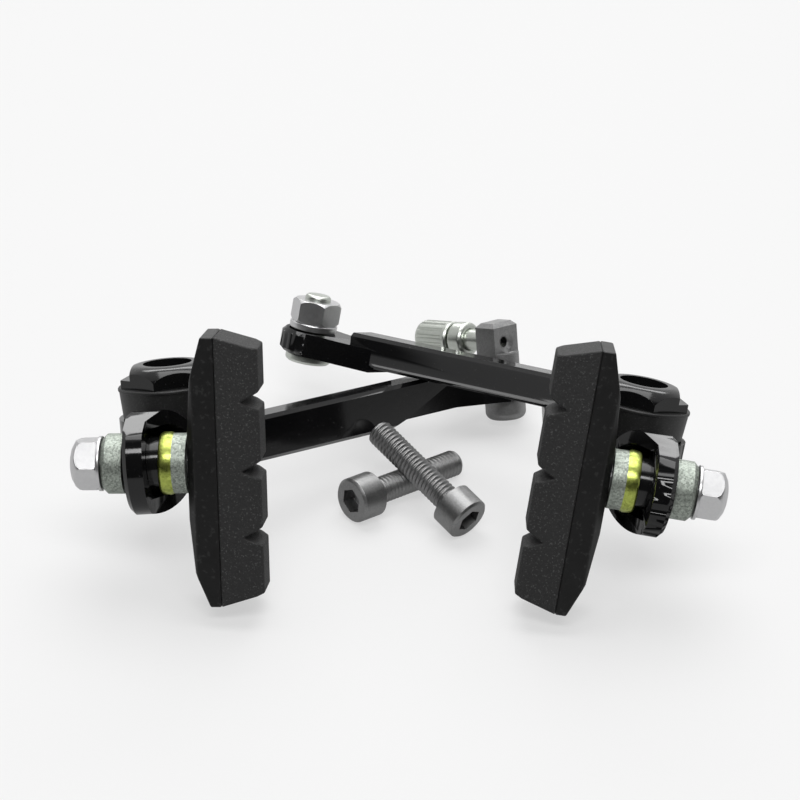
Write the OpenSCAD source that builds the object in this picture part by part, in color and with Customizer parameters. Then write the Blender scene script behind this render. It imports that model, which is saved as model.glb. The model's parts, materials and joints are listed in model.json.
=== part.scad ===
// Rim brake with two cranked arms that each turn on a frame boss.
// Each half is drawn in its own frame: origin on the pivot axis level with the pad stud,
// x toward the rim, y toward the cable end, z along the pivot axis away from the bicycle frame.

/* [Placing of the halves] */
// Turn of the left half about x, y and z
left_turn = [-22.01, -7.47, -0.1]; // [-90:0.01:90]
// Place of the left pivot in the stored pose
left_pos = [-48.31, -18.12, 21.46]; // [-200:0.01:200]
// Turn of the right half about x, y and z
right_turn = [-20.86, 7.77, -1]; // [-90:0.01:90]
// Place of the right pivot in the stored pose
right_pos = [48.65, -16.89, 21.65]; // [-200:0.01:200]

/* [Arm boss and ear] */
// Radius of the arm's pivot boss
boss_r = 11.2; // [9:0.1:14]
// Lowest level of the boss
boss_low = -6.5; // [-9:0.1:-4]
// Top level of the boss
boss_top = 6.4; // [4:0.1:9]
// Bevel on the boss's lower edge
boss_bevel = 1.6; // [0.5:0.1:3]
// Inner edge of the anchor notch in the boss, measured along x
notch_in = -7.4; // [-9:0.1:-6]
// Width of the anchor notch
notch_wide = 2.1; // [1:0.1:3]
// Level of the notch's floor
notch_floor = 4.1; // [3:0.1:5]
// Depth of the notch behind the boss's front
notch_deep = 4.4; // [2:0.1:6]
// Outer face of the ear plate
ear_out = -6.5; // [-9:0.1:-5]
// Inner face of the ear plate
ear_in = -2.3; // [-4:0.1:-1]
// Radius of the ear's rounded front
ear_r = 10.7; // [8:0.1:13]
// Distance from the pivot to the centre of the ear's round
ear_y = -19; // [-24:0.1:-15]
// Bevel round the ear's edge
ear_bevel = 0.9; // [0.3:0.1:2]
// Reach of the ear's root toward the rim
flare_x = 5; // [2:0.1:8]
// Start of the flare along y
flare_y = -22; // [-26:0.1:-18]
// Travel of the pad stud each way along its slot
slide_reach = 2; // [1:0.1:4]
// Clearance round the stud in the ear's slot
slot_gap = 0.5; // [0.3:0.05:1]

/* [Arm bars] */
// Start of the bar's centreline
bar_start = [6, -3]; // [-20:0.1:20]
// Plan angle of the bar
bar_angle = 45.5; // [30:0.5:60]
// Plan length of the straight bar
bar_long = 76; // [50:0.5:110]
// Width of the bar
bar_wide = 7.3; // [5:0.1:12]
// Bevel on the bar's long edges
bar_bevel = 0.8; // [0.3:0.1:2]
// Radius of the cable end's eye
eye_r = 7; // [5:0.1:10]
// Lowest and highest level of the left bar
left_bar_z = [-6, 3.77]; // [-20:0.1:20]
// Lowest and highest level of the left eye
left_eye_z = [-4.4, 2]; // [-20:0.1:20]
// Centre of the left eye
left_eye = [69.2, 55]; // [0:0.1:100]
// Start and end of the left bar's step to its eye
left_step = [44, 58]; // [20:0.1:80]
// Length of the left bar's step
left_step_run = 3.5; // [1:0.1:8]
// Level of the right bar's lower face at its start
right_bar_z = 8.75; // [4:0.1:14]
// Height of the right bar
right_bar_high = 7.35; // [5:0.1:10]
// Fall of the right bar toward its eye
right_bar_fall = 5.9; // [0:0.1:10]
// Lowest and highest level of the right eye
right_eye_z = [0.8, 6.1]; // [-20:0.1:20]
// Centre of the right eye
right_eye = [70, 55.2]; // [0:0.1:100]
// Length of the right bar's sloping run
right_run = 74; // [50:0.5:90]
// Where the right bar's crank meets its lower face
crank_x = [16, 19.5]; // [10:0.1:30]
// Level of the crank's foot
crank_low = -5.45; // [-9:0.1:0]
// Length of the crank along the bar
crank_long = 24; // [10:0.5:40]
// Inset of the crank's sides from the bar's
crank_inset = 0.15; // [0.05:0.05:1]
// Drop of the crank's top below the bar's, at its start and end
crank_drop = [1.2, 3]; // [0.5:0.1:6]
// Free radius that the arm leaves round the spring cover
cover_room = 11.5; // [11:0.1:14]

/* [Pivot unit] */
// Radius of the frame boss's hole in the sleeve
sleeve_bore = 4.05; // [3:0.01:6]
// Outer radius of the sleeve
sleeve_r = 5; // [4:0.1:7]
// Running clearance round turning shafts
run_gap = 0.05; // [0.01:0.01:0.1]
// Clearance between pieces that move past each other
move_gap = 0.3; // [0.2:0.05:0.6]
// Reach of the sleeve below the boss
sleeve_proud = 0.4; // [0:0.1:2]
// Radius of the spring cover at its top
cover_r = 10.9; // [9:0.1:13]
// Radius of the spring cover at its foot
cover_foot = 10.25; // [9:0.1:13]
// Level of the cover's top
cover_top = 13.1; // [10:0.1:16]
// Wall of the spring cover
cover_wall = 1; // [0.6:0.1:2]
// Height of the cover's upper lip
cover_lip = 0.7; // [0.3:0.1:2]
// Radius of the spring's wire
wire_r = 0.65; // [0.4:0.05:1]
// Mean radius of the spring's coil
coil_r = 8.1; // [7:0.1:9]
// Turns of the spring
coil_turns = 2.75; // [1:0.25:4]
// Width across the tension nut's flats
nut_flats = 18; // [15:0.1:22]
// Level of the tension nut's top
nut_top = 17.56; // [15:0.01:20]
// Turn of the tension nut's corner from the front
nut_turn = -9.5; // [-30:0.5:30]
// Radius of the screw head's seat in the nut
seat_r = 5.2; // [4:0.05:7]
// Depth of the screw head's seat
seat_deep = 6.5; // [4:0.1:9]
// Land between the seat and the nut's shoulder
nut_land = 0.7; // [0.3:0.1:2]
// Shoulder radius of the tension nut
nut_round = 5; // [3:0.1:8]
// Inner edge of the step on the nut's outer side
nut_step_x = -7.4; // [-9:0.1:-6]
// Thickness of the ledge left by that step
nut_ledge = 1.8; // [1:0.1:3]
// Wall of the nut's skirt inside the cover
skirt_wall = 1.4; // [0.8:0.1:3]

/* [Pad mounting] */
// Distance from the pivot to the stud axis
stud_y = -19.5; // [-24:0.1:-15]
// Radius of the pad stud
stud_r = 3; // [2.5:0.1:4]
// Left pad's lean, then toe, on its ball seats
left_lean = [2.96, -0.58]; // [-10:0.01:10]
// Right pad's lean, then toe, on its ball seats
right_lean = [0.94, 2.78]; // [-10:0.01:10]
// Radius of the outer ball seat
ball_out = 5.95; // [5:0.05:9]
// Radius of the inner ball seat
ball_in = 7.6; // [5:0.05:9]
// Clearance of a ball seat in its cup
ball_gap = 0.03; // [0.01:0.01:0.1]
// Radius of the domed washers
dome_r = 5.3; // [4:0.1:6]
// Hole radius of the domed washers
dome_hole = 3.9; // [3.2:0.1:4.5]
// Radius of both cup washers
cup_r = 6.25; // [5:0.05:8]
// Bevel on the cup washers
cup_bevel = 0.9; // [0.3:0.1:2]
// Outer cup's flat face and rim, from the ball centre
outer_cup = [-7.4, -3]; // [-20:0.1:20]
// Inner cup's rim and flat face, from the ball centre
inner_cup = [4.6, 10.2]; // [-20:0.1:20]
// Length of the inner cup's raised lip
lip_long = 2.7; // [1:0.1:4]
// Height of the inner cup's raised lip
lip_proud = 0.3; // [0.1:0.05:1]
// Thickness of the flat washer under the stud nut
flat_thick = 0.7; // [0.4:0.1:1.5]
// Radius of that flat washer
flat_r = 5.7; // [4:0.1:7]
// Width across the small nuts' flats
small_flats = 10; // [8:0.1:13]
// Height of the domed stud nut
dome_nut_high = 5.8; // [4:0.1:8]
// Height of its rounded crown
crown_high = 2.6; // [1:0.1:4]
// Flat radius on its crown
crown_flat = 2.4; // [1:0.1:4]
// Turn of the left and right stud nuts
stud_nut_turn = [30, 21]; // [0:1:60]

/* [Brake pad] */
// Level of the pad's lower and upper end
pad_z = [-29.2, 27.1]; // [-60:0.1:60]
// Width of the pad
pad_wide = 12; // [8:0.1:16]
// Height of the holder behind the friction block
holder_high = 6.3; // [3:0.1:8]
// Height of the friction block
block_high = 8.9; // [6:0.1:14]
// Height of the holder at its upper and lower end
holder_end = [2.7, 2.3]; // [1:0.1:6]
// Level where the holder's upper and lower slope begin
holder_knee = [6, -11]; // [-30:0.5:30]
// Shortening of the friction face at each end
block_slant = 2.65; // [1:0.05:5]
// Bevel on the friction face's long edges
block_bevel = 1.4; // [0.5:0.1:3]
// Bevel on the holder's back edges
holder_bevel = 1.6; // [0.5:0.1:3]
// Depth of the water grooves
groove_deep = 3.9; // [2:0.1:6]
// Level of each groove's deepest line
groove_z = [13.6, -0.8, -14.6]; // [-60:0.1:60]
// Opening of a groove below and above its deepest line
groove_open = [1.7, 2.0]; // [0.5:0.1:4]
// Depth of the stud in the holder
stud_deep = 3; // [1:0.1:4]

/* [Cable anchor] */
// Radius of the anchor bolt
anchor_r = 3; // [2.5:0.1:4]
// Head radius and height of the anchor bolt
anchor_head = [5.25, 1.9]; // [1:0.05:8]
// Anchor washer's radius and thickness
anchor_washer_size = [5.5, 1.5]; // [1:0.1:8]
// Height of the anchor nut
anchor_nut_high = 5.3; // [4:0.1:8]
// Bolt end standing out of the anchor nut
anchor_proud = 1.3; // [0.5:0.1:3]
// Bevel on the ends of the anchor bolt
end_bevel = 0.5; // [0.2:0.1:1]
// Turn of the anchor nut
anchor_turn = 12; // [0:1:60]
// Bevel on the anchor nut's corners
nut_bevel = 0.75; // [0.3:0.05:1.5]

/* [Cable stop] */
// Radius of the stop's bolt
stop_bolt_r = 2.5; // [2:0.1:4]
// Head radius and height of that bolt
stop_head = [4.7, 4.8]; // [1:0.1:8]
// Rounding of its head
stop_head_round = 1.8; // [0.5:0.1:3]
// Radius and top level of the stop's round base
stop_base = [3.9, 5.7]; // [1:0.1:10]
// Near and far face of the stop's block along the cable
stop_t = [-1.55, 4.2]; // [-10:0.05:10]
// Width of the block
stop_wide = 8; // [5:0.1:12]
// Top level of the block
stop_top = 13.2; // [10:0.1:18]
// Bevel on the block's top
stop_bevel = 1; // [0.3:0.1:2]
// Plan angle of the cable from the block
cable_angle = 140; // [90:1:180]
// Level of the cable
cable_z = 8.5; // [7:0.1:12]
// Radius of the cable's passage
cable_r = 1.2; // [0.8:0.05:2]
// Radius of the countersink at the passage's end
sink_r = 2.5; // [1.5:0.1:3]
// Depth of that countersink
sink_deep = 0.8; // [0.3:0.1:1.2]
// Radius of the barrel's threaded end
barrel_thread = 2.5; // [2:0.1:3.5]
// Barrel's inner end, collar and outer end along the cable
barrel_t = [2.2, 14.4, 24.5]; // [-10:0.1:40]
// Radius of the barrel's grip
barrel_r = 3.95; // [3:0.05:6]
// Number of flutes round the grip
flute_count = 14; // [6:1:24]
// Radius of a flute
flute_r = 0.42; // [0.2:0.01:0.8]
// Rounding of the grip's outer end
grip_bevel = 1.3; // [0.3:0.1:2]
// Radius and depth of the casing's seat in the barrel
casing_seat = [2.6, 6]; // [1:0.1:10]
// Travel of the barrel's thread each way
barrel_reach = 2.4; // [1:0.1:4]
// Start and end of the lock ring along the cable
ring_t = [9.6, 13.9]; // [0:0.1:30]
// Radius of the lock ring
ring_r = 4; // [3:0.05:6]
// Bevel on the lock ring
ring_bevel = 0.6; // [0.2:0.1:1.5]

/* [Mounting screws] */
// Radius of the screws' shanks
screw_r = 3; // [2.5:0.1:4]
// Length of the shanks
screw_long = 25; // [10:1:40]
// Radius of the screws' heads
screw_head_r = 5; // [4:0.1:7]
// Height of the screws' heads
screw_head_high = 6; // [4:0.1:8]
// Width across the key sockets' flats
socket_flats = 5; // [4:0.1:6]
// Depth of the key sockets
socket_deep = 3; // [2:0.1:5]
// Bevel on heads and shank ends
screw_bevel = 0.5; // [0.2:0.1:1]
// Head centre of the lower screw
screw_low_pos = [-10.26, -13.56, 5.47]; // [-200:0.01:200]
// Rise and heading of the lower screw
screw_low_dir = [-4.59, 42.58]; // [-180:0.01:180]
// Head centre of the upper screw
screw_high_pos = [15.57, -17.92, 4.83]; // [-200:0.01:200]
// Rise and heading of the upper screw
screw_high_dir = [15.33, 134.3]; // [-180:0.01:180]

/* [Hidden] */
$fn = 96;
small_fn = 48;
big = 200;
ball_x = (ear_out + ear_in) / 2;
plate_half = (ear_in - ear_out) / 2;
slot_r = stud_r + slot_gap;
pocket_r = cup_r + lip_proud + 0.75;
pocket_reach = slide_reach + 0.6;
bar_half = bar_wide / 2;
seat_floor = nut_top - seat_deep;
cover_low = boss_top + move_gap;
cover_in = cover_top - cover_wall;
skirt_r = seat_r + skirt_wall;
skirt_low = seat_floor - 1;
coil_low = boss_top + wire_r + run_gap;
coil_high = cover_in - wire_r;
nut_round_r = seat_r + nut_land;
pad_back = inner_cup[1] + move_gap;
pad_joint = pad_back + holder_high;
pad_face = pad_joint + block_high;
pad_half = pad_wide / 2;
nut_in = outer_cup[0] - move_gap - flat_thick;
nut_out = nut_in - dome_nut_high;
small_corner = small_flats / sqrt(3);
right_bar_top = right_bar_z + right_bar_high;
anchor_low = right_eye_z[0] - move_gap;
washer_low = right_eye_z[1] + move_gap;
nut_low = washer_low + anchor_washer_size[1];
anchor_high = nut_low + anchor_nut_high + anchor_proud;
stop_low = left_eye_z[1] + move_gap;
head_top = left_eye_z[0] - move_gap;
coil_steps = 96;
wire_sides = 10;
ear_back = 0;
head_room = 1;

module left_half() {
    translate(left_pos) rotate(left_turn) children();
}

module right_half() {
    translate(right_pos) rotate(right_turn) mirror([1, 0, 0]) children();
}

// x along the stud, origin at the centre of the ball seats
module at_ball(lean) {
    translate([ball_x, stud_y, 0]) rotate([0, lean[0], lean[1]]) children();
}

module along_x(from, to, r, n) {
    translate([from, 0, 0]) rotate([0, 90, 0]) cylinder(h = to - from, r = r, $fn = n);
}

// ring about x, its half section given as x and radius
module turned_x(section) {
    rotate([0, 90, 0]) rotate_extrude() polygon([for (p = section) [p[1], p[0]]]);
}

module slot_along_y(r, reach, from, to) {
    for (s = [-1, 1]) translate([0, stud_y + s * reach, 0]) along_x(from, to, r, $fn);
    translate([from, stud_y - reach, -r]) cube([to - from, 2 * reach, 2 * r]);
}

module boss() {
    rotate_extrude() polygon([[sleeve_r + run_gap, boss_low], [boss_r - boss_bevel, boss_low],
        [boss_r - 0.35 * boss_bevel, boss_low + 0.3 * boss_bevel], [boss_r, boss_low + boss_bevel],
        [boss_r, boss_top], [sleeve_r + run_gap, boss_top]]);
}

module ear_side() {
    translate([0, ear_y, 0]) turned_x([[ear_out, 0], [ear_out, ear_r - ear_bevel],
        [ear_out + ear_bevel, ear_r], [flare_x, ear_r], [flare_x, 0]]);
    translate([ear_out, ear_y, boss_low]) cube([flare_x - ear_out, -ear_y, boss_top - boss_low]);
}

module ear() {
    difference() {
        intersection() {
            ear_side();
            translate([0, 0, -ear_r]) linear_extrude(2 * ear_r) polygon([
                [ear_out, ear_y - ear_r - head_room], [ear_in, ear_y - ear_r - head_room],
                [ear_in, flare_y], [flare_x, -boss_r + head_room], [flare_x, ear_back],
                [ear_out, ear_back]]);
        }
        slot_along_y(pocket_r, pocket_reach, ear_in, flare_x + head_room);
        slot_along_y(slot_r, slide_reach, ear_out - head_room, ear_in + head_room);
    }
}

module cuts_at_pivot() {
    translate([0, 0, boss_low - ear_r]) cylinder(h = boss_top - boss_low + 2 * ear_r,
        r = sleeve_r + run_gap);
    translate([0, 0, boss_top]) cylinder(h = big, r = cover_room);
    translate([notch_in - notch_wide, -boss_r, notch_floor])
        cube([notch_wide, notch_deep, boss_top]);
}

module bar_section(half, low, high) {
    polygon([[-half, low + bar_bevel], [-half + bar_bevel, low],
        [half - bar_bevel, low], [half, low + bar_bevel],
        [half, high - bar_bevel], [half - bar_bevel, high],
        [-half + bar_bevel, high], [-half, high - bar_bevel]]);
}

module bar_run(half, low, high, long, fall) {
    translate(bar_start) rotate([0, fall, bar_angle]) rotate([90, 0, 90])
        linear_extrude(long) bar_section(half, low, high);
}

function bar_point(along, across) = [
    bar_start[0] + along * cos(bar_angle) - across * sin(bar_angle),
    bar_start[1] + along * sin(bar_angle) + across * cos(bar_angle)];

module eye_end(eye, z, from) {
    front = -77;
    back = 130;
    translate([0, 0, z[0]]) linear_extrude(z[1] - z[0]) polygon([
        bar_point(from, bar_half), bar_point(from, -bar_half),
        eye + (eye_r - 0.1) * [cos(front), sin(front)],
        eye + (eye_r - 0.1) * [cos(back), sin(back)]]);
    translate([eye[0], eye[1], z[0]]) rotate_extrude() polygon([[0, 0], [eye_r - bar_bevel, 0],
        [eye_r, bar_bevel], [eye_r, z[1] - z[0] - bar_bevel], [eye_r - bar_bevel, z[1] - z[0]],
        [0, z[1] - z[0]]]);
}

module eye_hole(eye, r) {
    translate([eye[0], eye[1], -big / 2]) cylinder(h = big, r = r);
}

module left_arm_shape() {
    difference() {
        union() {
            boss();
            ear();
            intersection() {
                bar_run(bar_half, left_bar_z[0], left_bar_z[1], bar_long, 0);
                translate([0, big / 2, 0]) rotate([90, 0, 0]) linear_extrude(big) polygon([
                    [0, left_bar_z[0]], [left_step[0], left_bar_z[0]],
                    [left_step[0] + left_step_run, left_eye_z[0]], [big, left_eye_z[0]],
                    [big, left_eye_z[1]], [left_step[1] + left_step_run, left_eye_z[1]],
                    [left_step[1], left_bar_z[1]], [0, left_bar_z[1]]]);
            }
            eye_end(left_eye, left_eye_z, bar_long - 5);
        }
        cuts_at_pivot();
        eye_hole(left_eye, stop_bolt_r + run_gap);
    }
}

module right_arm_shape() {
    difference() {
        union() {
            boss();
            ear();
            bar_run(bar_half, right_bar_z, right_bar_top, right_run, right_bar_fall);
            intersection() {
                bar_run(bar_half - crank_inset, crank_low, right_bar_top + head_room, crank_long,
                    0);
                translate([0, big / 2, 0]) rotate([90, 0, 0]) linear_extrude(big) polygon([
                    [0, crank_low - head_room], [crank_x[0], crank_low - head_room],
                    [crank_x[1], right_bar_z], [crank_x[1], right_bar_top - crank_drop[1]],
                    [0, right_bar_top - crank_drop[0]]]);
            }
            eye_end(right_eye, right_eye_z, right_run - 6);
        }
        cuts_at_pivot();
        eye_hole(right_eye, anchor_r + run_gap);
    }
}

module sleeve() {
    translate([0, 0, boss_low - sleeve_proud]) difference() {
        cylinder(h = seat_floor - boss_low + sleeve_proud, r = sleeve_r);
        translate([0, 0, -1]) cylinder(h = big, r = sleeve_bore);
    }
}

module cover() {
    rotate_extrude() polygon([[skirt_r, cover_in], [cover_foot - cover_wall, cover_in],
        [cover_foot - cover_wall, cover_low], [cover_foot, cover_low],
        [cover_r - 0.2, cover_top - cover_lip], [cover_r, cover_top - cover_lip],
        [cover_r, cover_top - 0.2], [cover_r - 0.2, cover_top], [skirt_r, cover_top]]);
}

// closed coil, each ring of points square to the wire
module spring() {
    rise = (coil_high - coil_low) / coil_steps;
    points = [for (i = [0:coil_steps]) for (j = [0:wire_sides - 1])
        let (a = 360 * coil_turns * i / coil_steps, b = 360 * j / wire_sides,
            r = coil_r + wire_r * cos(b))
        [r * cos(a), r * sin(a), coil_low + rise * i + wire_r * sin(b)]];
    sides = [for (i = [0:coil_steps - 1]) for (j = [0:wire_sides - 1])
        let (k = (j + 1) % wire_sides)
        [i * wire_sides + j, i * wire_sides + k, (i + 1) * wire_sides + k,
            (i + 1) * wire_sides + j]];
    near = [for (j = [wire_sides - 1:-1:0]) j];
    far = [for (j = [0:wire_sides - 1]) coil_steps * wire_sides + j];
    polyhedron(points, concat(sides, [near, far]));
}

module tension_nut() {
    difference() {
        union() {
            intersection() {
                translate([0, 0, cover_top]) rotate([0, 0, nut_turn])
                    rotate([0, 0, 30]) cylinder(h = nut_top - cover_top,
                        r = nut_flats / sqrt(3), $fn = 6);
                rotate_extrude() union() {
                    square([nut_round_r, nut_top]);
                    translate([nut_round_r, nut_top - nut_round]) circle(nut_round);
                    square([nut_flats, nut_top - nut_round]);
                }
            }
            translate([0, 0, skirt_low]) cylinder(h = cover_top - skirt_low, r = skirt_r);
        }
        translate([0, 0, seat_floor]) cylinder(h = big, r = seat_r);
        translate([0, 0, skirt_low - 1]) cylinder(h = big, r = sleeve_r);
        translate([nut_step_x - nut_flats, -nut_flats, cover_top + nut_ledge])
            cube([nut_flats, 2 * nut_flats, nut_top]);
    }
}

module outer_dome() {
    intersection() {
        difference() {
            along_x(-ball_out, -plate_half - run_gap, dome_r, $fn);
            along_x(-big, big, dome_hole, small_fn);
        }
        sphere(ball_out);
    }
}

module inner_dome() {
    intersection() {
        difference() {
            along_x(plate_half + run_gap, ball_in, dome_r, $fn);
            along_x(-big, big, dome_hole, small_fn);
        }
        sphere(ball_in);
    }
}

module outer_cup_washer() {
    difference() {
        turned_x([[outer_cup[0], 0], [outer_cup[0], cup_r - cup_bevel],
            [outer_cup[0] + cup_bevel, cup_r], [outer_cup[1], cup_r], [outer_cup[1], 0]]);
        along_x(-big, big, stud_r + run_gap, small_fn);
        sphere(ball_out + ball_gap);
    }
}

module inner_cup_washer() {
    top = cup_r + lip_proud;
    difference() {
        turned_x([[inner_cup[0], 0], [inner_cup[0], cup_r], [inner_cup[0] + 0.5, top - 0.05],
            [inner_cup[0] + 1.2, top], [inner_cup[0] + lip_long - 0.6, top],
            [inner_cup[0] + lip_long, cup_r], [inner_cup[1], cup_r], [inner_cup[1], 0]]);
        along_x(-big, big, stud_r + run_gap, small_fn);
        sphere(ball_in + ball_gap);
    }
}

module pad_stud() {
    along_x(nut_in - dome_nut_high + 1.4, pad_back + stud_deep, stud_r, small_fn);
}

module flat_washer() {
    difference() {
        along_x(nut_in, nut_in + flat_thick, flat_r, $fn);
        along_x(-big, big, stud_r + run_gap, small_fn);
    }
}

module stud_nut(turn) {
    difference() {
        intersection() {
            rotate([turn, 0, 0]) along_x(nut_out, nut_in, small_corner, 6);
            turned_x([[nut_out, 0], [nut_out, crown_flat],
                [nut_out + 0.12 * crown_high, 0.62 * small_corner],
                [nut_out + 0.4 * crown_high, 0.84 * small_corner],
                [nut_out + 0.7 * crown_high, 0.95 * small_corner],
                [nut_out + crown_high, small_corner], [nut_in - 0.3, small_corner],
                [nut_in, small_corner - 0.3], [nut_in, 0]]);
        }
        along_x(nut_out + 1.3, big, stud_r, small_fn);
    }
}

module holder_side() {
    polygon([[pad_joint, pad_z[0]], [pad_joint - holder_end[1], pad_z[0]],
        [pad_back + 1.1, holder_knee[1] - 11], [pad_back, holder_knee[1]],
        [pad_back, holder_knee[0]], [pad_back + 1, holder_knee[0] + 12],
        [pad_joint - holder_end[0], pad_z[1]], [pad_joint, pad_z[1]]]);
}

module pad_holder() {
    difference() {
        intersection() {
            translate([0, pad_half, 0]) rotate([90, 0, 0]) linear_extrude(pad_wide) holder_side();
            translate([0, 0, -big / 2]) linear_extrude(big) polygon([
                [pad_joint, -pad_half], [pad_back + holder_bevel, -pad_half],
                [pad_back, -pad_half + holder_bevel], [pad_back, pad_half - holder_bevel],
                [pad_back + holder_bevel, pad_half], [pad_joint, pad_half]]);
        }
        along_x(0, pad_back + stud_deep, stud_r, small_fn);
    }
}

module block_side() {
    difference() {
        polygon([[pad_joint, pad_z[0]], [pad_face, pad_z[0] + block_slant],
            [pad_face, pad_z[1] - block_slant], [pad_joint, pad_z[1]]]);
        for (z = groove_z) polygon([[pad_face - groove_deep, z],
            [pad_face + 1, z - groove_open[0] * 1.25], [pad_face + 1, z + groove_open[1] * 1.25]]);
    }
}

module friction_block() {
    intersection() {
        translate([0, pad_half, 0]) rotate([90, 0, 0]) linear_extrude(pad_wide) block_side();
        translate([0, 0, -big / 2]) linear_extrude(big) polygon([
            [pad_joint, -pad_half], [pad_face - block_bevel, -pad_half],
            [pad_face, -pad_half + block_bevel], [pad_face, pad_half - block_bevel],
            [pad_face - block_bevel, pad_half], [pad_joint, pad_half]]);
    }
}

module anchor_place() {
    translate([right_eye[0], right_eye[1], 0]) children();
}

module anchor_bolt_shape() {
    foot = anchor_low - anchor_head[1];
    rotate_extrude() polygon([
        [0, foot], [anchor_head[0] - end_bevel, foot], [anchor_head[0], foot + end_bevel],
        [anchor_head[0], anchor_low], [anchor_r, anchor_low], [anchor_r, anchor_high - end_bevel],
        [anchor_r - end_bevel, anchor_high], [0, anchor_high]]);
}

module anchor_washer_shape() {
    translate([0, 0, washer_low]) difference() {
        cylinder(h = anchor_washer_size[1], r = anchor_washer_size[0]);
        translate([0, 0, -1]) cylinder(h = big, r = anchor_r + run_gap, $fn = small_fn);
    }
}

module anchor_nut_shape() {
    translate([0, 0, nut_low]) difference() {
        intersection() {
            rotate([0, 0, anchor_turn]) cylinder(h = anchor_nut_high, r = small_corner, $fn = 6);
            rotate_extrude() polygon([[0, 0], [small_corner - nut_bevel, 0],
                [small_corner, nut_bevel], [small_corner, anchor_nut_high - nut_bevel],
                [small_corner - nut_bevel, anchor_nut_high], [0, anchor_nut_high]]);
        }
        translate([0, 0, -1]) cylinder(h = big, r = anchor_r, $fn = small_fn);
    }
}

module stop_place() {
    translate([left_eye[0], left_eye[1], 0]) children();
}

// x along the cable, away from the block
module on_cable() {
    stop_place() translate([0, 0, cable_z]) rotate([0, 0, cable_angle]) children();
}

module stop_bolt_shape() {
    rotate_extrude() difference() {
        union() {
            translate([0, head_top - stop_head[1]]) square([stop_head[0], stop_head[1]]);
            translate([0, head_top - 1]) square([stop_bolt_r, stop_base[1] + 1 - head_top]);
        }
        translate([stop_head[0] - stop_head_round, head_top - stop_head[1]]) difference() {
            translate([0, -1]) square([stop_head_round + 1, stop_head_round + 1]);
            translate([0, stop_head_round]) circle(stop_head_round);
        }
    }
}

module cable_stop_shape() {
    difference() {
        union() {
            stop_place() translate([0, 0, stop_low])
                cylinder(h = stop_base[1] - stop_low + 0.4, r = stop_base[0]);
            stop_place() rotate([0, 0, cable_angle]) intersection() {
                translate([0, stop_wide / 2, 0]) rotate([90, 0, 0]) linear_extrude(stop_wide)
                    polygon([[stop_t[0], stop_low], [stop_t[1], stop_low],
                        [stop_t[1], stop_top - stop_bevel], [stop_t[1] - stop_bevel, stop_top],
                        [stop_t[0] + stop_bevel, stop_top], [stop_t[0], stop_top - stop_bevel]]);
                translate([stop_t[0] - 1, 0, 0]) rotate([90, 0, 90]) linear_extrude(big)
                    polygon([[-stop_wide / 2, stop_low], [stop_wide / 2, stop_low],
                        [stop_wide / 2, stop_top - stop_bevel],
                        [stop_wide / 2 - stop_bevel, stop_top],
                        [-stop_wide / 2 + stop_bevel, stop_top],
                        [-stop_wide / 2, stop_top - stop_bevel]]);
            }
        }
        stop_place() translate([0, 0, stop_low - 1])
            cylinder(h = stop_base[1] - stop_low + 1, r = stop_bolt_r, $fn = small_fn);
        on_cable() along_x(stop_t[0] - 1, big, cable_r, small_fn);
        on_cable() along_x(barrel_t[0] - barrel_reach - move_gap, big,
            barrel_thread + run_gap, small_fn);
        on_cable() turned_x([[stop_t[0] - 1, 0], [stop_t[0] - 1, sink_r + 1],
            [stop_t[0], sink_r], [stop_t[0] + sink_deep, cable_r], [stop_t[0] + sink_deep, 0]]);
    }
}

module barrel_shape() {
    difference() {
        union() {
            along_x(barrel_t[0], barrel_t[1] + 1, barrel_thread, small_fn);
            difference() {
                turned_x([[barrel_t[1], 0], [barrel_t[1], barrel_r - 0.4],
                    [barrel_t[1] + 0.4, barrel_r], [barrel_t[2] - grip_bevel, barrel_r],
                    [barrel_t[2] - 0.3 * grip_bevel, barrel_r - 0.35 * grip_bevel],
                    [barrel_t[2], barrel_r - grip_bevel], [barrel_t[2], 0]]);
                for (i = [0:flute_count - 1]) rotate([360 * i / flute_count, 0, 0])
                    translate([barrel_t[1] + 1.2, 0, barrel_r + 0.1]) rotate([0, 90, 0])
                        cylinder(h = big, r = flute_r, $fn = 16);
            }
        }
        along_x(0, big, cable_r, small_fn);
        along_x(barrel_t[2] - casing_seat[1], big, casing_seat[0], small_fn);
    }
}

module lock_ring_shape() {
    difference() {
        turned_x([[ring_t[0], 0], [ring_t[0], ring_r - ring_bevel],
            [ring_t[0] + ring_bevel, ring_r], [ring_t[1] - ring_bevel, ring_r],
            [ring_t[1], ring_r - ring_bevel], [ring_t[1], 0]]);
        along_x(0, big, barrel_thread + run_gap, small_fn);
    }
}

module screw() {
    end = screw_head_high + screw_long;
    difference() {
        turned_x([[0, 0], [0, screw_head_r - screw_bevel], [screw_bevel, screw_head_r],
            [screw_head_high, screw_head_r], [screw_head_high, screw_r],
            [end - screw_bevel, screw_r], [end, screw_r - screw_bevel], [end, 0]]);
        along_x(-1, socket_deep, socket_flats / sqrt(3), 6);
    }
}

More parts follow.
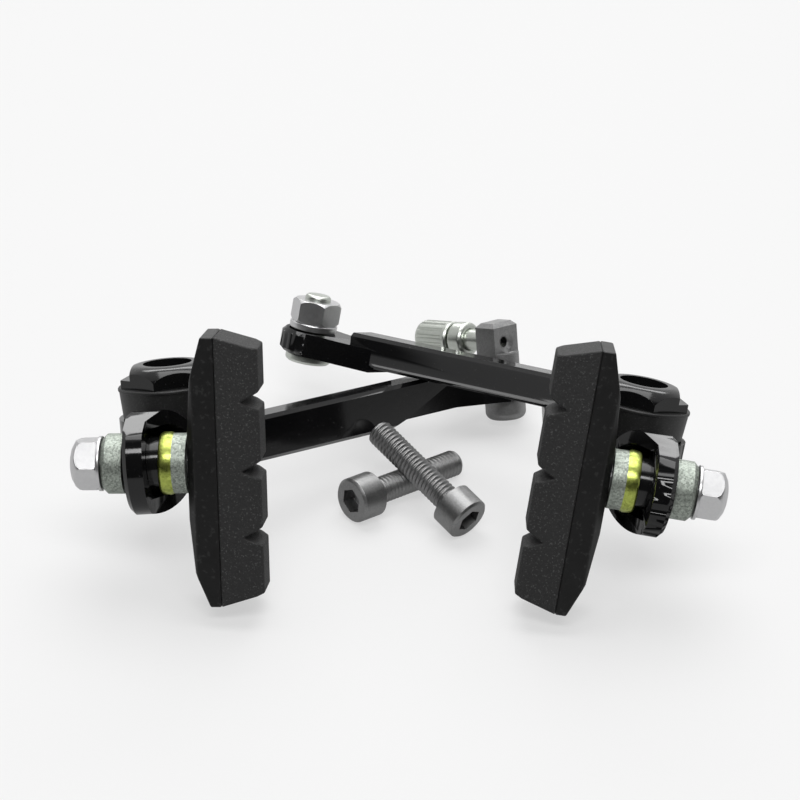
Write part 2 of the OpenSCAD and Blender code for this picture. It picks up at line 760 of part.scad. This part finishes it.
module left_arm() { color("black") left_half() left_arm_shape(); }
module right_arm() { color("black") right_half() right_arm_shape(); }
module mounting_screws() {
    color("silver") {
        translate(screw_low_pos) rotate([0, -screw_low_dir[0], screw_low_dir[1]]) screw();
        translate(screw_high_pos) rotate([0, -screw_high_dir[0], screw_high_dir[1]]) screw();
    }
}
module left_pivot_sleeve() { color("silver") left_half() sleeve(); }
module right_pivot_sleeve() { color("silver") right_half() sleeve(); }
module left_spring() { color("silver") left_half() spring(); }
module right_spring() { color("silver") right_half() spring(); }
module left_spring_cover() { color("dimgray") left_half() cover(); }
module right_spring_cover() { color("dimgray") right_half() cover(); }
module left_tension_nut() { color("black") left_half() tension_nut(); }
module right_tension_nut() { color("black") right_half() tension_nut(); }
module left_inner_dome_washer() { color("gray") left_half() at_ball([0, 0]) inner_dome(); }
module left_outer_dome_washer() { color("gray") left_half() at_ball([0, 0]) outer_dome(); }
module right_inner_dome_washer() { color("gray") right_half() at_ball([0, 0]) inner_dome(); }
module right_outer_dome_washer() { color("gray") right_half() at_ball([0, 0]) outer_dome(); }
module left_inner_cup_washer() { color("gray") left_half() at_ball(left_lean) inner_cup_washer(); }
module left_outer_cup_washer() { color("gray") left_half() at_ball(left_lean) outer_cup_washer(); }
module right_inner_cup_washer() {
    color("gray") right_half() at_ball(right_lean) inner_cup_washer();
}
module right_outer_cup_washer() {
    color("gray") right_half() at_ball(right_lean) outer_cup_washer();
}
module left_pad_stud() { color("silver") left_half() at_ball(left_lean) pad_stud(); }
module right_pad_stud() { color("silver") right_half() at_ball(right_lean) pad_stud(); }
module left_flat_washer() { color("silver") left_half() at_ball(left_lean) flat_washer(); }
module right_flat_washer() { color("silver") right_half() at_ball(right_lean) flat_washer(); }
module left_stud_nut() {
    color("silver") left_half() at_ball(left_lean) stud_nut(stud_nut_turn[0]);
}
module right_stud_nut() {
    color("silver") right_half() at_ball(right_lean) stud_nut(stud_nut_turn[1]);
}
module left_pad_holder() { color("black") left_half() at_ball(left_lean) pad_holder(); }
module right_pad_holder() { color("black") right_half() at_ball(right_lean) pad_holder(); }
module left_friction_block() { color("dimgray") left_half() at_ball(left_lean) friction_block(); }
module right_friction_block() {
    color("dimgray") right_half() at_ball(right_lean) friction_block();
}
module anchor_bolt() { color("silver") right_half() anchor_place() anchor_bolt_shape(); }
module anchor_washer() { color("silver") right_half() anchor_place() anchor_washer_shape(); }
module anchor_nut() { color("silver") right_half() anchor_place() anchor_nut_shape(); }
module stop_bolt() { color("gray") left_half() stop_place() stop_bolt_shape(); }
module cable_stop() { color("gray") left_half() cable_stop_shape(); }
module barrel_adjuster() { color("silver") left_half() on_cable() barrel_shape(); }
module barrel_lock_ring() { color("silver") left_half() on_cable() lock_ring_shape(); }

left_arm();
right_arm();
mounting_screws();
left_pivot_sleeve();
right_pivot_sleeve();
left_spring();
right_spring();
left_spring_cover();
right_spring_cover();
left_tension_nut();
right_tension_nut();
left_inner_dome_washer();
left_outer_dome_washer();
right_inner_dome_washer();
right_outer_dome_washer();
left_inner_cup_washer();
left_outer_cup_washer();
right_inner_cup_washer();
right_outer_cup_washer();
left_pad_stud();
right_pad_stud();
left_flat_washer();
right_flat_washer();
left_stud_nut();
right_stud_nut();
left_pad_holder();
right_pad_holder();
left_friction_block();
right_friction_block();
anchor_bolt();
anchor_washer();
anchor_nut();
stop_bolt();
cable_stop();
barrel_adjuster();
barrel_lock_ring();
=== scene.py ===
import bpy, bmesh, json, math
from mathutils import Euler, Matrix, Vector

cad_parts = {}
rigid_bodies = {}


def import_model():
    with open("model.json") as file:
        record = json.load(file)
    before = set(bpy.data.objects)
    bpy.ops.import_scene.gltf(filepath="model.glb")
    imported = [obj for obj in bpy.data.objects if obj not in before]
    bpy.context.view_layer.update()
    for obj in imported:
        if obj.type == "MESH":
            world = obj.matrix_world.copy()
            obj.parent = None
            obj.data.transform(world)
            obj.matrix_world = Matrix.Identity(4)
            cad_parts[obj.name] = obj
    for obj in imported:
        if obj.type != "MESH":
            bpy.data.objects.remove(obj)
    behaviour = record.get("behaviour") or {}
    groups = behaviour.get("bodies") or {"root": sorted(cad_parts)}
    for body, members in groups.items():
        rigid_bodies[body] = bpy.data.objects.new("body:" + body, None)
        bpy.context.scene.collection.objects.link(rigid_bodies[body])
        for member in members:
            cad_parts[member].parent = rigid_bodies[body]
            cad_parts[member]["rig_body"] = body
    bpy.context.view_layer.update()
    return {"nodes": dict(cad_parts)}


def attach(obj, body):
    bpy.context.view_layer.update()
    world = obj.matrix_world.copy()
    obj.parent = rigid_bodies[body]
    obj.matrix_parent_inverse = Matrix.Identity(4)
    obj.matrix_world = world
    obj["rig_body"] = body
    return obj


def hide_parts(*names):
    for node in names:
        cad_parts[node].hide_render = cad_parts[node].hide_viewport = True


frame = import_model()
mm = 0.001
scene = bpy.context.scene
meshCare = {"weld": 0.015, "flat": 0.8, "weight": 50}      # mm, degrees, modifier weight
scene.view_settings.view_transform = "Standard"


# where the two halves stand, as in the solids
halves = {
    "left": {"turn": (-22.01, -7.47, -0.1), "place": (-48.31, -18.12, 21.46), "mirror": False},
    "right": {"turn": (-20.86, 7.77, -1.0), "place": (48.65, -16.89, 21.65), "mirror": True},
}


def halfMatrix(side):
    half = halves[side]
    turn = Euler([math.radians(a) for a in half["turn"]], "XYZ").to_matrix().to_4x4()
    place = Matrix.Translation(Vector(half["place"]))
    flip = Matrix.Diagonal((-1 if half["mirror"] else 1, 1, 1, 1))
    return Matrix.Scale(mm, 4) @ place @ turn @ flip


padFrame = {"centre": (-4.4, -19.5, 0), "leftLean": (2.96, -0.58), "rightLean": (0.94, 2.78)}


def padMatrix(side):
    lean, toe = padFrame[side + "Lean"]
    turn = Euler((0, math.radians(lean), math.radians(toe)), "XYZ").to_matrix().to_4x4()
    return halfMatrix(side) @ Matrix.Translation(Vector(padFrame["centre"])) @ turn


# shader maths written as plain expressions
class Wire:
    def __init__(self, finish, socket):
        self.finish, self.socket = finish, socket

    def maths(self, operation, first, second=0.0, clamp=False):
        return self.finish.node("ShaderNodeMath", {"operation": operation, "use_clamp": clamp},
                                {0: first, 1: second})

    def __add__(self, other): return self.maths("ADD", self, other)
    def __radd__(self, other): return self.maths("ADD", other, self)
    def __sub__(self, other): return self.maths("SUBTRACT", self, other)
    def __rsub__(self, other): return self.maths("SUBTRACT", other, self)
    def __mul__(self, other): return self.maths("MULTIPLY", self, other)
    def __rmul__(self, other): return self.maths("MULTIPLY", other, self)
    def __truediv__(self, other): return self.maths("DIVIDE", self, other)
    def __pow__(self, other): return self.maths("POWER", self, other)
    def above(self, level, width):          # soft step, 0 below the level and 1 past its width
        return self.maths("MULTIPLY", self - level, 1 / width, clamp=True)


class Finish:
    def __init__(self, name):
        self.material = bpy.data.materials.new(name)
        self.material.use_nodes = True
        self.tree = self.material.node_tree
        self.tree.nodes.clear()
        self.place = self.node("ShaderNodeTexCoord", out="Object")

    def node(self, kind, settings=None, inputs=None, out=0):
        made = self.tree.nodes.new(kind)
        for key, value in (settings or {}).items():
            if key == "ramp":               # stops as (position, colour)
                ramp = made.color_ramp
                while len(ramp.elements) < len(value):
                    ramp.elements.new(0.5)
                for stop, (where, colour) in zip(ramp.elements, value):
                    stop.position, stop.color = where, (*colour, 1)
            else:
                setattr(made, key, value)
        for key, value in (inputs or {}).items():
            if isinstance(value, Wire):
                self.tree.links.new(value.socket, made.inputs[key])
            elif isinstance(value, tuple) and len(value) == 3 and made.inputs[key].type == "RGBA":
                made.inputs[key].default_value = (*value, 1)
            else:
                made.inputs[key].default_value = value
        return Wire(self, made.outputs[out])

    def noise(self, size, detail=3.0, rough=0.55, place=None):   # size of a feature in mm
        return self.node("ShaderNodeTexNoise", None, {"Vector": place or self.place,
                         "Scale": 1 / (size * mm), "Detail": detail, "Roughness": rough})

    def cells(self, size, out="Distance", place=None):
        return self.node("ShaderNodeTexVoronoi", None, {"Vector": place or self.place,
                         "Scale": 1 / (size * mm)}, out=out)

    def blend(self, factor, first, second):
        return self.node("ShaderNodeMix", {"data_type": "RGBA"}, {0: factor, 6: first, 7: second},
                         out=2)

    def bump(self, height, strength, depth, normal=None):
        inputs = {"Height": height, "Strength": strength, "Distance": depth * mm}
        if normal:
            inputs["Normal"] = normal
        return self.node("ShaderNodeBump", None, inputs)

    def surface(self, **sockets):
        names = {key.replace("_", " "): value for key, value in sockets.items()}
        shader = self.node("ShaderNodeBsdfPrincipled", None, names)
        self.close(shader)
        return self.material

    def close(self, shader):
        end = self.tree.nodes.new("ShaderNodeOutputMaterial")
        self.tree.links.new(shader.socket, end.inputs["Surface"])


def grey(level):
    return level, level, level


def glossPaint(name, base, rough):
    f = Finish(name)
    drift, dust, peel = f.noise(9, 2), f.noise(0.5, 1), f.noise(1.3, 2)
    specks = dust.above(0.72, 0.05)
    worn = f.blend(drift, base, tuple(c * 1.5 for c in base))
    colour = f.blend(specks * 0.5, worn, grey(0.05))
    normal = f.bump(peel, 0.05, 0.05)
    return f.surface(Base_Color=colour, Roughness=drift * 0.05 + specks * 0.15 + rough,
                     Specular_IOR_Level=0.4, Coat_Weight=0.1, Coat_Roughness=0.03, Normal=normal)


def platedMetal(name, dark, light, rough, grain, depth, sparkle=0.0):
    f = Finish(name)
    cloud, fine, flakes = f.noise(5, 3), f.noise(grain, 3), f.cells(grain * 1.6, "Color")
    bright = f.node("ShaderNodeSeparateColor", None, {"Color": flakes})
    colour = f.blend(fine * 0.6 + bright * (0.4 * sparkle) + cloud * 0.2, dark, light)
    normal = f.bump(fine + bright * sparkle, 0.6, depth)
    return f.surface(Base_Color=colour, Metallic=1.0, Roughness=fine * 0.12 + cloud * 0.08 + rough,
                     Normal=normal)


def rubber(name, dark, light, rough, grain, depth):
    f = Finish(name)
    cloud, fine, pits = f.noise(6, 3), f.noise(grain, 4, 0.65), f.cells(grain * 1.4)
    specks = f.noise(grain * 0.9, 2).above(0.6, 0.06)
    colour = f.blend(specks * 0.75, f.blend(fine * 0.7 + cloud * 0.3, dark, light),
                     tuple(c * 3 for c in light))
    normal = f.bump(fine + pits * 0.5, 0.8, depth)
    return f.surface(Base_Color=colour, Roughness=cloud * 0.1 + fine * 0.1 + rough, Normal=normal)


finishes = {
    "armPaint": glossPaint("armPaint", base=(0.0045, 0.0045, 0.0048), rough=0.07),
    "nutPaint": glossPaint("nutPaint", base=(0.005, 0.005, 0.0052), rough=0.12),
    "coverPlastic": rubber("coverPlastic", dark=grey(0.012), light=grey(0.022), rough=0.38,
                           grain=0.3, depth=0.02),
    "zincCup": platedMetal("zincCup", dark=(0.04, 0.05, 0.04), light=(0.56, 0.61, 0.55),
                           rough=0.42, grain=0.22, depth=0.06, sparkle=1.3),
    "limeLip": platedMetal("limeLip", dark=(0.1, 0.13, 0.015), light=(0.72, 0.82, 0.2),
                           rough=0.2, grain=0.45, depth=0.03, sparkle=0.7),
    "brightChrome": platedMetal("brightChrome", dark=(0.6, 0.6, 0.61), light=grey(0.8),
                                rough=0.24, grain=0.8, depth=0.01, sparkle=0.15),
    "looseSteel": platedMetal("looseSteel", dark=grey(0.18), light=grey(0.42), rough=0.32,
                              grain=0.35, depth=0.02, sparkle=0.3),
    "springSteel": platedMetal("springSteel", dark=(0.25, 0.25, 0.26), light=grey(0.5),
                               rough=0.3, grain=0.4, depth=0.02, sparkle=0.2),
    "castAlloy": platedMetal("castAlloy", dark=grey(0.2), light=grey(0.46), rough=0.38,
                             grain=0.26, depth=0.04, sparkle=0.5),
    "turnedAlloy": platedMetal("turnedAlloy", dark=(0.5, 0.53, 0.48), light=(0.8, 0.83, 0.78),
                               rough=0.22, grain=0.3, depth=0.02, sparkle=0.3),
    "holderRubber": rubber("holderRubber", dark=grey(0.006), light=grey(0.011), rough=0.3,
                           grain=1.1, depth=0.03),
    "padRubber": rubber("padRubber", dark=grey(0.013), light=grey(0.032), rough=0.62,
                        grain=0.45, depth=0.2),
}
print("finishes made")


# merged copies of the solids, with softened edges
def mergedCopy(node, name):
    mesh = frame["nodes"][node].data.copy()
    mesh.materials.clear()
    for key in list(mesh.attributes.keys()):
        if key.startswith("custom_normal"):
            mesh.attributes.remove(mesh.attributes[key])
    piece = bpy.data.objects.new(name, mesh)
    scene.collection.objects.link(piece)
    work = bmesh.new()
    work.from_mesh(mesh)
    bmesh.ops.remove_doubles(work, verts=work.verts, dist=meshCare["weld"] * mm)
    bmesh.ops.dissolve_limit(work, angle_limit=math.radians(meshCare["flat"]),
                             verts=work.verts, edges=work.edges)
    for face in work.faces:
        face.smooth = True
    work.to_mesh(mesh)
    work.free()
    return piece


def softenEdges(piece, width, steps=3, sharp=32):
    edges = piece.modifiers.new("soft edges", "BEVEL")
    edges.width, edges.segments = width * mm, steps
    edges.limit_method, edges.angle_limit = "ANGLE", math.radians(sharp)
    edges.use_clamp_overlap = True
    edges.miter_outer = "MITER_ARC"
    flats = piece.modifiers.new("flat faces stay flat", "WEIGHTED_NORMAL")
    flats.mode, flats.keep_sharp = "FACE_AREA_WITH_ANGLE", False
    flats.weight = meshCare["weight"]


def settle(piece):          # the piece keeps its finished mesh and no modifiers
    ready = bpy.data.meshes.new_from_object(piece.evaluated_get(
        bpy.context.evaluated_depsgraph_get()))
    piece.modifiers.clear()
    piece.data = ready
    return piece


def bodyOf(node):
    return frame["nodes"][node]["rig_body"]


def dress(node, name, finish, slot, width=0.3, steps=3, sharp=32, reshape=None):
    piece = mergedCopy(node, name)
    if reshape:
        reshape(piece)
    if width:
        softenEdges(piece, width, steps, sharp)
    bpy.context.view_layer.update()
    settle(piece)
    piece.data.materials.append(finishes[finish])
    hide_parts(node)
    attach(piece, bodyOf(node))
    return piece


# Geometry Nodes: a threaded shank along x, closed at both ends
def socketId(tree, label):
    return next(i.identifier for i in tree.interface.items_tree
                if i.item_type == "SOCKET" and i.in_out == "INPUT" and i.name == label)


def threadTree():
    tree = bpy.data.node_groups.new("threadedShank", "GeometryNodeTree")
    face = tree.interface
    face.new_socket("Geometry", in_out="OUTPUT", socket_type="NodeSocketGeometry")
    for label, value in (("Radius", 0.003), ("Depth", 0.0003), ("Pitch", 0.001),
                         ("Length", 0.025)):
        face.new_socket(label, in_out="INPUT", socket_type="NodeSocketFloat").default_value = value
    for label, value in (("Rows", 200), ("Around", 33)):
        face.new_socket(label, in_out="INPUT", socket_type="NodeSocketInt").default_value = value
    face.new_socket("Finish", in_out="INPUT", socket_type="NodeSocketMaterial")
    start = tree.nodes.new("NodeGroupInput")
    end = tree.nodes.new("NodeGroupOutput")

    def add(kind, settings=None, inputs=None):
        made = tree.nodes.new(kind)
        for key, value in (settings or {}).items():
            setattr(made, key, value)
        for key, value in (inputs or {}).items():
            if isinstance(value, bpy.types.NodeSocket):
                tree.links.new(value, made.inputs[key])
            else:
                made.inputs[key].default_value = value
        return made

    def sums(operation, first, second=0.0):
        return add("ShaderNodeMath", {"operation": operation}, {0: first, 1: second}).outputs[0]

    grid = add("GeometryNodeMeshGrid", None, {"Size X": 1.0, "Size Y": 1.0,
               "Vertices X": start.outputs["Rows"], "Vertices Y": start.outputs["Around"]})
    spot = add("ShaderNodeSeparateXYZ", None, {0: add("GeometryNodeInputPosition").outputs[0]})
    along = sums("ADD", spot.outputs[0], 0.5)
    angle = sums("MULTIPLY", sums("ADD", spot.outputs[1], 0.5), 2 * math.pi)
    reach = sums("MULTIPLY", along, start.outputs["Length"])
    phase = sums("SUBTRACT", sums("MULTIPLY", sums("DIVIDE", reach, start.outputs["Pitch"]),
                                  2 * math.pi), angle)
    wave = sums("MULTIPLY", sums("ADD", sums("SINE", phase), 1.0), 0.5)
    crest = sums("SUBTRACT", start.outputs["Radius"],
                 sums("MULTIPLY", sums("POWER", wave, 1.4), start.outputs["Depth"]))
    nearEnd = sums("MINIMUM", along, sums("SUBTRACT", 1.0, along))     # 0 at both ends
    endLong = sums("MULTIPLY", nearEnd, start.outputs["Length"])
    taper = sums("MINIMUM", sums("ADD", sums("SUBTRACT", start.outputs["Radius"],
                 sums("MULTIPLY", start.outputs["Depth"], 1.6)), endLong), crest)
    closed = sums("MULTIPLY", taper, sums("GREATER_THAN", nearEnd, 1e-5))
    place = add("ShaderNodeCombineXYZ", None, {0: reach,
                1: sums("MULTIPLY", closed, sums("COSINE", angle)),
                2: sums("MULTIPLY", closed, sums("SINE", angle))})
    shaped = add("GeometryNodeSetPosition", None, {"Geometry": grid.outputs["Mesh"],
                 "Position": place.outputs[0]})
    joined = add("GeometryNodeMergeByDistance", None, {"Geometry": shaped.outputs[0],
                 "Distance": 1e-6})
    smooth = add("GeometryNodeSetShadeSmooth", None, {"Geometry": joined.outputs[0]})
    real = add("GeometryNodeRealizeInstances", None, {"Geometry": smooth.outputs[0]})
    painted = add("GeometryNodeSetMaterial", None, {"Geometry": real.outputs[0],
                  "Material": start.outputs["Finish"]})
    tree.links.new(painted.outputs[0], end.inputs[0])
    return tree


threads = threadTree()


def threadedShank(name, radius, depth, pitch, length, finish, matrix, rowsPerTurn=8):
    piece = bpy.data.objects.new(name, bpy.data.meshes.new(name))
    scene.collection.objects.link(piece)
    maker = piece.modifiers.new("thread", "NODES")
    maker.node_group = threads
    sizes = {"Radius": radius * mm, "Depth": depth * mm, "Pitch": pitch * mm,
             "Length": length * mm, "Rows": int(length / pitch * rowsPerTurn) + 1, "Around": 37,
             "Finish": finishes[finish]}
    for label, value in sizes.items():
        maker[socketId(threads, label)] = value
    bpy.context.view_layer.update()
    settle(piece)
    piece.data.materials.clear()
    piece.data.materials.append(finishes[finish])
    piece.data.transform(matrix)
    work = bmesh.new()
    work.from_mesh(piece.data)
    bmesh.ops.recalc_face_normals(work, faces=work.faces)
    work.to_mesh(piece.data)
    work.free()
    return piece


def joinPieces(first, *others):
    for other in others:
        for material in other.data.materials:
            if material.name not in first.data.materials:
                first.data.materials.append(material)
    work = bmesh.new()
    for piece in (first, *others):
        start = len(work.faces)
        work.from_mesh(piece.data)
        work.faces.ensure_lookup_table()
        index = first.data.materials.find(piece.data.materials[0].name)
        if piece is not first:
            for face in work.faces[start:]:
                face.material_index = index
    work.to_mesh(first.data)
    work.free()
    for other in others:
        bpy.data.objects.remove(other)
    return first


# arms and pivot units
armLooks = {"edge": 0.4, "steps": 4, "sharp": 38, "earCentre": (-4.4, -19, 0), "facetReach": 9.4,
            "facetRise": 94, "earBack": -12}


def flattenEar(side):       # the ear's top is a flat facet, not a round
    back = halfMatrix(side).inverted()
    rise = math.radians(armLooks["facetRise"])
    facing = (back.to_3x3() @ Vector((0, -math.cos(rise), math.sin(rise)))).normalized()
    facing.x = 0
    facing.normalize()

    def reshape(piece):
        for vert in piece.data.vertices:
            spot = back @ vert.co
            over = (spot - Vector(armLooks["earCentre"])).dot(facing) - armLooks["facetReach"]
            if over > 0 and spot.y < armLooks["earBack"]:
                vert.co = halfMatrix(side) @ (spot - facing * over)
    return reshape


pivotPieces = (             # node, name, finish, slot, softened edge in mm and its steps
    ("_tension_nut", "PivotNut", "nutPaint", "nut_paint", 0.35, 4),
    ("_spring_cover", "SpringCover", "coverPlastic", "cover_plastic", 0.15, 3),
    ("_pivot_sleeve", "PivotSleeve", "springSteel", "steel", 0.1, 2),
)
for side in halves:
    dress(side + "_arm", side + "ArmPaint", "armPaint", "arm_paint", armLooks["edge"],
          armLooks["steps"], armLooks["sharp"], flattenEar(side))
    for node, name, *looks in pivotPieces:
        dress(side + node, side + name, *looks)
    spring = frame["nodes"][side + "_spring"]
    spring.data.materials.clear()
    spring.data.materials.append(finishes["springSteel"])
print("arms and pivots dressed")

# pads on their seats
lipEnd = 7.25               # where the inner cup's lime lip ends along the stud, in mm


def paintLip(cup, side):
    cup.data.materials.append(finishes["limeLip"])
    back = padMatrix(side).inverted()
    for face in cup.data.polygons:
        if (back @ face.center).x < lipEnd:
            face.material_index = 1


fineCorner = 24             # angle in degrees from which an edge of these pieces is softened
cupPieces = (
    ("dome_washer", "Dome", "nutPaint", "nut_paint", 0.1, 2),
    ("cup_washer", "Cup", "zincCup", "zinc", 0.25, 3),
)
padPieces = (
    ("_pad_stud", "PadStud", "springSteel", "steel", 0.2, 2),
    ("_flat_washer", "ThinWasher", "brightChrome", "bright_chrome", 0.12, 2),
    ("_stud_nut", "DomedNut", "brightChrome", "bright_chrome", 0.25, 3, fineCorner),
    ("_pad_holder", "PadHolder", "holderRubber", "holder_rubber", 0.7, 4, fineCorner),
    ("_friction_block", "FrictionBlock", "padRubber", "pad_rubber", 0.35, 3),
)
for side in halves:
    for layer in ("inner", "outer"):
        for node, name, *looks in cupPieces:
            cup = dress(f"{side}_{layer}_{node}", side + layer.title() + name, *looks)
        if layer == "inner":
            paintLip(cup, side)
    for node, name, *looks in padPieces:
        dress(side + node, side + name, *looks)
print("pads dressed")

# cable anchor, stop and barrel
cablePieces = (
    ("anchor_bolt", "anchorBolt", "turnedAlloy", "steel", 0.2, 2),
    ("anchor_washer", "anchorWasher", "brightChrome", "bright_chrome", 0.25, 3),
    ("anchor_nut", "anchorNut", "brightChrome", "bright_chrome", 0.25, 3, fineCorner),
    ("stop_bolt", "stopBolt", "castAlloy", "cast_alloy", 0.2, 3),
    ("cable_stop", "cableStopBlock", "castAlloy", "cast_alloy", 0.35, 3),
    ("barrel_adjuster", "barrelGrip", "turnedAlloy", "machined_alloy", 0.12, 2),
    ("barrel_lock_ring", "barrelRing", "turnedAlloy", "machined_alloy", 0.25, 3),
)
for looks in cablePieces:
    dress(*looks)
print("cable pieces dressed")

# loose screws: heads from the solid, shanks with real threads
screwSizes = {"headHigh": 6.0, "long": 25.0, "radius": 3.0, "depth": 0.42, "pitch": 1.0,
              "edge": 0.2, "sunk": 0.05, "core": 0.8, "coreShort": 0.3, "near": 0.02,
              "low": ((-10.26, -13.56, 5.47), (-4.59, 42.58)),       # place, rise and heading
              "high": ((15.57, -17.92, 4.83), (15.33, 134.3))}


def screwMatrix(which):
    place, (rise, heading) = screwSizes[which]
    turn = Euler((0, math.radians(-rise), math.radians(heading)), "XYZ").to_matrix().to_4x4()
    return Matrix.Scale(mm, 4) @ Matrix.Translation(Vector(place)) @ turn


def thinShanks(heads):      # the solid's plain shanks become cores inside the threaded ones
    tip = screwSizes["headHigh"] + screwSizes["long"]
    work = bmesh.new()
    work.from_mesh(heads.data)
    for which in ("low", "high"):
        matrix = screwMatrix(which)
        back = matrix.inverted()
        for vert in work.verts:
            spot = back @ vert.co
            inShank = math.hypot(spot.y, spot.z) < screwSizes["radius"] + screwSizes["near"]
            if inShank and screwSizes["headHigh"] - screwSizes["near"] < spot.x < tip + 1:
                spot.y, spot.z = spot.y * screwSizes["core"], spot.z * screwSizes["core"]
                spot.x = min(spot.x, tip - screwSizes["coreShort"])
                vert.co = matrix @ spot
    work.to_mesh(heads.data)
    work.free()


def looseScrews():
    heads = mergedCopy("mounting_screws", "looseScrews")
    thinShanks(heads)
    softenEdges(heads, screwSizes["edge"])
    bpy.context.view_layer.update()
    settle(heads)
    heads.data.materials.append(finishes["looseSteel"])
    shanks = []
    for which in ("low", "high"):
        start = Matrix.Translation((screwSizes["headHigh"] - screwSizes["sunk"], 0, 0))
        shanks.append(threadedShank(which + "Shank", screwSizes["radius"], screwSizes["depth"],
                                    screwSizes["pitch"], screwSizes["long"] + screwSizes["sunk"],
                                    "looseSteel", screwMatrix(which) @ start @ Matrix.Scale(1000, 4)))
    joinPieces(heads, *shanks)
    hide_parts("mounting_screws")
    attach(heads, bodyOf("mounting_screws"))


looseScrews()
print("loose screws made")

# studio: pale floor, bright back and top, dark front with one strip light
studio = {"floor": 0.3, "floorGlow": 0.56, "mirrored": 0.24, "dark": 0.03, "bright": 0.6,
          "edge": 80, "soft": 0.12, "half": 3.0,
          "top": {"size": (0.8, 0.85), "at": (0, 0.37, 0.93), "power": 6.5},
          "back": {"size": (1.8, 0.4), "at": (0, 1.7, 0.84), "power": 9.0},
          "strip": {"size": (0.7, 0.18), "at": (0, -0.53, 0.85), "power": 4.2}}


def floorFinish():
    f = Finish("studioFloor")
    path = f.tree.nodes.new("ShaderNodeLightPath")
    colour = f.blend(f.noise(30, 2), grey(studio["floor"]), grey(studio["floor"] * 0.99))
    matte = f.node("ShaderNodeBsdfDiffuse", None, {"Color": colour})
    seen = Wire(f, path.outputs["Is Camera Ray"]) * studio["floorGlow"]
    mirrored = Wire(f, path.outputs["Is Glossy Ray"]) + Wire(f, path.outputs["Is Transmission Ray"])
    glow = f.node("ShaderNodeEmission", None, {"Color": (1.0, 1.0, 1.0),
                  "Strength": seen + mirrored * studio["mirrored"]})
    f.close(f.node("ShaderNodeAddShader", None, {0: matte, 1: glow}))
    return f.material


def softLamp(name, aim=(0, 0, 0.02)):
    sizes = studio[name]
    light = bpy.data.lights.new(name, "AREA")
    light.shape, light.energy = "RECTANGLE", sizes["power"]
    light.size, light.size_y = sizes["size"]
    lamp = bpy.data.objects.new(name, light)
    scene.collection.objects.link(lamp)
    lamp.location = sizes["at"]
    lamp.rotation_euler = (Vector(aim) - Vector(sizes["at"])).to_track_quat("-Z", "Y").to_euler()


def studioWorld():
    world = bpy.data.worlds.new("studio")
    scene.world = world
    world.use_nodes = True
    tree, link = world.node_tree, world.node_tree.links.new
    edge = math.radians(studio["edge"])
    spot = tree.nodes.new("ShaderNodeTexCoord")
    lean = tree.nodes.new("ShaderNodeVectorMath")
    lean.operation = "DOT_PRODUCT"
    lean.inputs[1].default_value = (0, math.sin(edge), math.cos(edge))
    link(spot.outputs["Generated"], lean.inputs[0])
    ramp = tree.nodes.new("ShaderNodeMapRange")
    ramp.inputs["From Min"].default_value = 0.0
    ramp.inputs["From Max"].default_value = studio["soft"]
    ramp.inputs["To Min"].default_value = studio["dark"]
    ramp.inputs["To Max"].default_value = studio["bright"]
    link(lean.outputs["Value"], ramp.inputs["Value"])
    link(ramp.outputs[0], tree.nodes["Background"].inputs["Strength"])
    tree.nodes["Background"].inputs["Color"].default_value = (1, 1, 1, 1)


floorMesh = bpy.data.meshes.new("floor")
half = studio["half"]
floorMesh.from_pydata([(x * half, y * half, 0) for x, y in ((-1, -1), (1, -1), (1, 1), (-1, 1))],
                      [], [(0, 1, 2, 3)])
floor = bpy.data.objects.new("floor", floorMesh)
scene.collection.objects.link(floor)
floorMesh.materials.append(floorFinish())
for lampName in ("top", "back", "strip"):
    softLamp(lampName)
studioWorld()

# camera, as the photograph was taken
view = {"lens": 121.5, "place": (-0.66, -497.6345, 341.4789),
        "right": (0.99886867, 0.02560281, 0.04007328), "up": (-0.0475540, 0.5377867, 0.8417387),
        "ahead": (0.0, 0.84269207, -0.53839584)}
lens = bpy.data.cameras.new("photoView")
lens.lens, lens.sensor_width, lens.clip_start = view["lens"], 36, 0.01
camera = bpy.data.objects.new("photoView", lens)
scene.collection.objects.link(camera)
axes = Matrix((view["right"], view["up"], tuple(-c for c in view["ahead"]))).transposed()
camera.matrix_world = Matrix.Translation(Vector(view["place"]) * mm) @ axes.to_4x4()
scene.camera = camera
print("studio and camera set")
